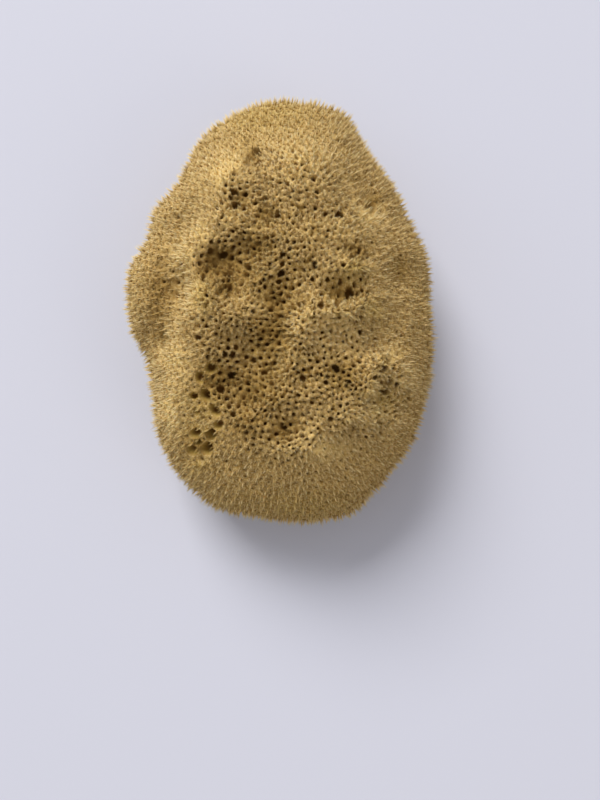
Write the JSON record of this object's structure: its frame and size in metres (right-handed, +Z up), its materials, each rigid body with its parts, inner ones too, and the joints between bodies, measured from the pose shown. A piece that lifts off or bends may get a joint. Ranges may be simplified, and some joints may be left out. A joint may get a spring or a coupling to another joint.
{
  "type": "natural sea sponge",
  "caption": "Natural bath sponge grown as one egg-shaped mass, lying on its flat cut base, with a porous valleyed crown and fine fibre tufts all over.",
  "frame": {"origin": "middle of the bounding box, on the flat face where the sponge was cut from its rock", "axes": "+Z up from the cut face, +Y along the sponge towards its narrow end, +X to the right with the lobe at -X"},
  "size_m": [0.121, 0.165, 0.064],
  "materials": {
    "spongin": "matt, soft, porous fibre"
  },
  "bodies": {
    "root": {"sponge": "spongin"}
  },
  "joints": []
}
